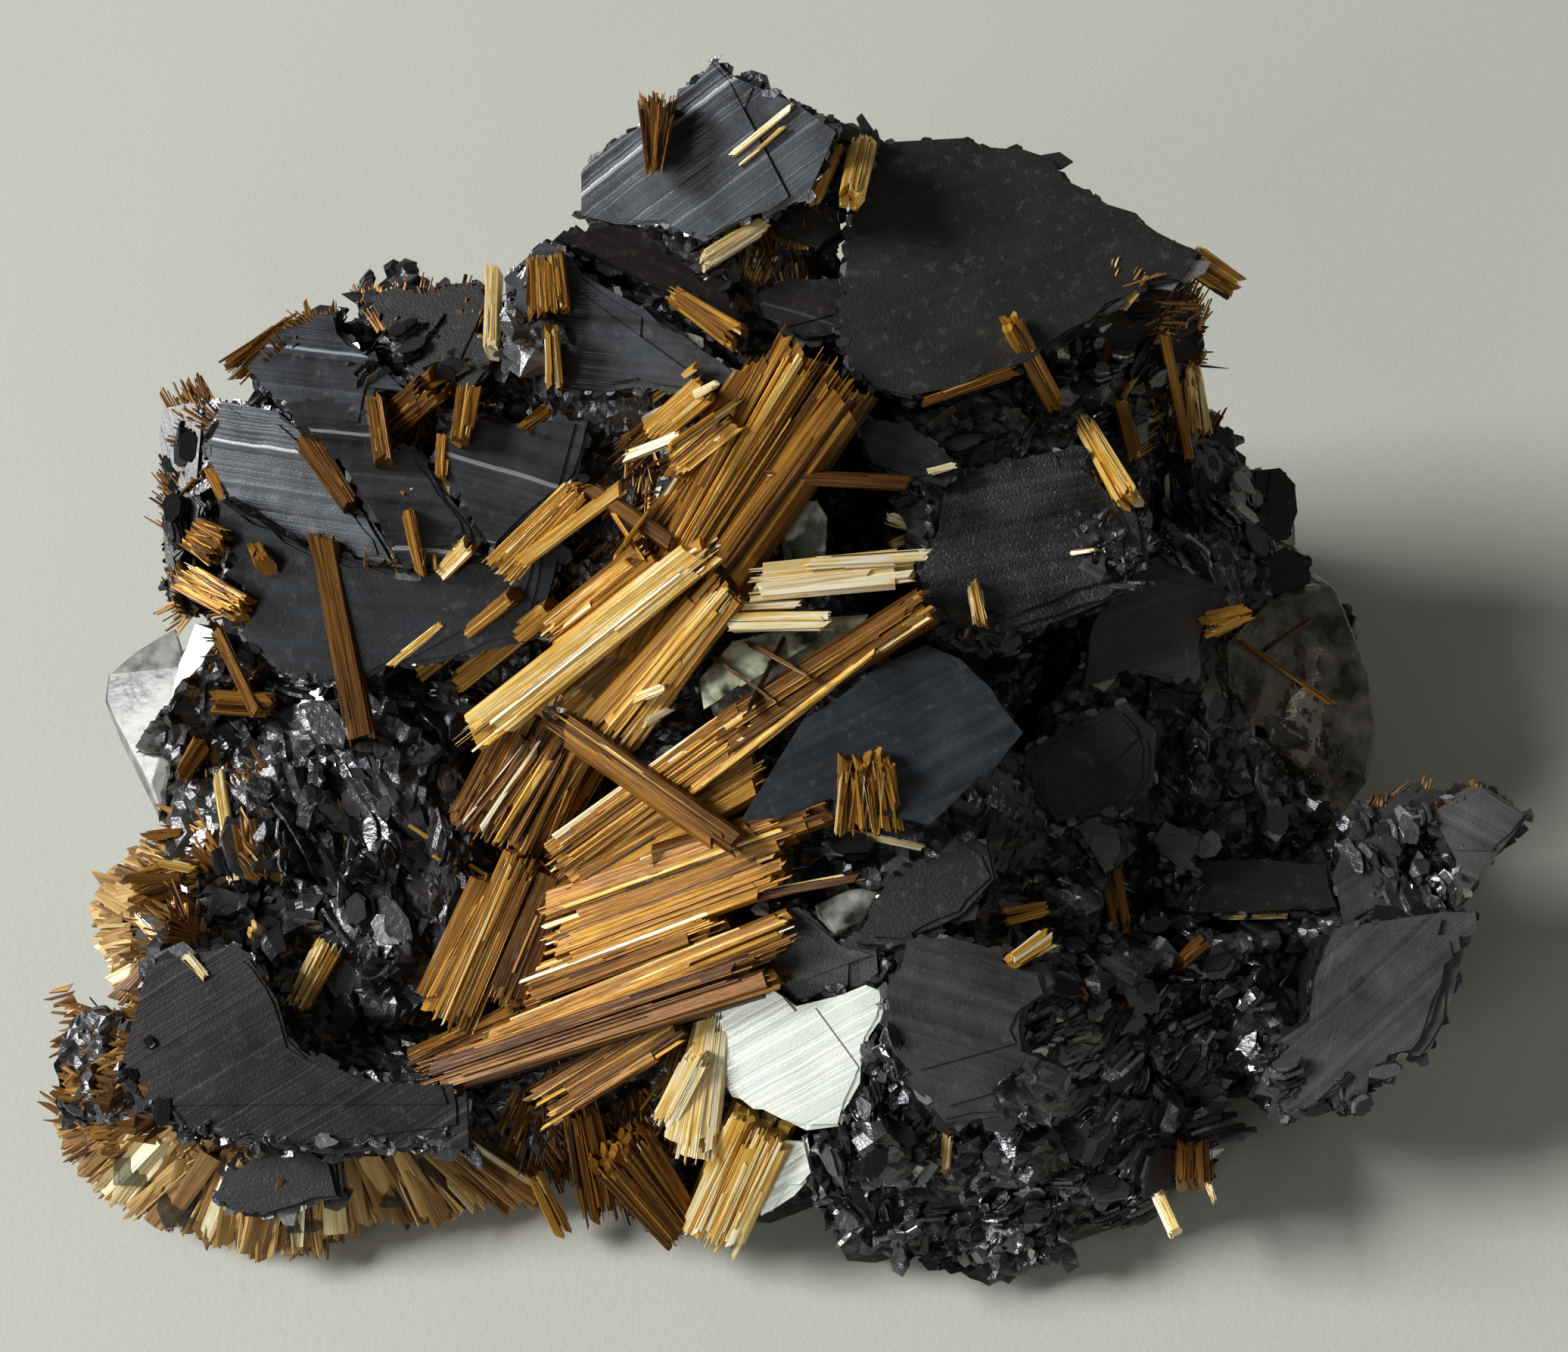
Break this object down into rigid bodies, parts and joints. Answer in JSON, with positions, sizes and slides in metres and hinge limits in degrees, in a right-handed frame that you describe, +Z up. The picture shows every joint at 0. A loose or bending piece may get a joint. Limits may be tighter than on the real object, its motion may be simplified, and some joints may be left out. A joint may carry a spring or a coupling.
{
  "type": "rutile on hematite mineral specimen",
  "caption": "Free-standing crystal cluster of dark hematite plates grown through with flat golden rutile sheaves, a fibre fringe and pieces of quartz.",
  "frame": {"origin": "middle of the flat base on the table", "axes": "+Z up from the base, -Y toward the near side that the specimen is seen from, +X to its right"},
  "size_m": [0.0785, 0.0533, 0.0408],
  "materials": {
    "hematite": "dark steel-grey crystal plates with a metallic sheen, fine growth lines and matte black patches",
    "rutile": "golden to red-brown flat needles with a glassy, near-metallic shine",
    "quartz": "cloudy to smoky clear crystal"
  },
  "bodies": {
    "root": {"blade_tuft": "rutile", "brown_fringe": "rutile", "brown_piece": "rutile", "brown_spur": "rutile", "brown_wedge": "rutile", "cream_tuft": "rutile", "crown_splinter": "rutile", "crown_tuft": "rutile", "curved_needle": "rutile", "curved_sheaf": "rutile", "double_leaf": "rutile", "facet_tuft": "rutile", "near_fringe": "rutile", "frayed_tuft": "rutile", "gold_crown": "rutile", "golden_sheaf": "rutile", "green_gold_tuft": "rutile", "hematite_cluster": "hematite", "leaf": "rutile", "left_fan": "rutile", "left_fringe": "rutile", "left_quartz": "quartz", "long_bar": "rutile", "low_pale_bar": "rutile", "lower_blade_tuft": "rutile", "lower_leaf": "rutile", "lower_quartz": "quartz", "lower_white_bar": "rutile", "middle_bar": "rutile", "orange_spur": "rutile", "orange_tuft": "rutile", "pale_leaves": "rutile", "pale_quartz": "quartz", "pale_sheaf": "rutile", "pale_star": "rutile", "pale_top_sheaf": "rutile", "pale_tuft": "rutile", "plate_tuft": "rutile", "pointed_tuft": "rutile", "right_bar": "rutile", "right_smoky_quartz": "quartz", "rutile_tip": "rutile", "small_spur": "rutile", "small_tuft": "rutile", "star": "rutile", "stub": "rutile", "tall_needle": "rutile", "broad_sheaf": "rutile", "top_pair": "rutile", "top_tuft": "rutile", "upper_quartz": "quartz", "main_sheaf": "rutile", "upper_tuft": "rutile", "white_bar": "rutile", "yellow_needles": "rutile", "yellow_piece": "rutile"}
  },
  "joints": []
}
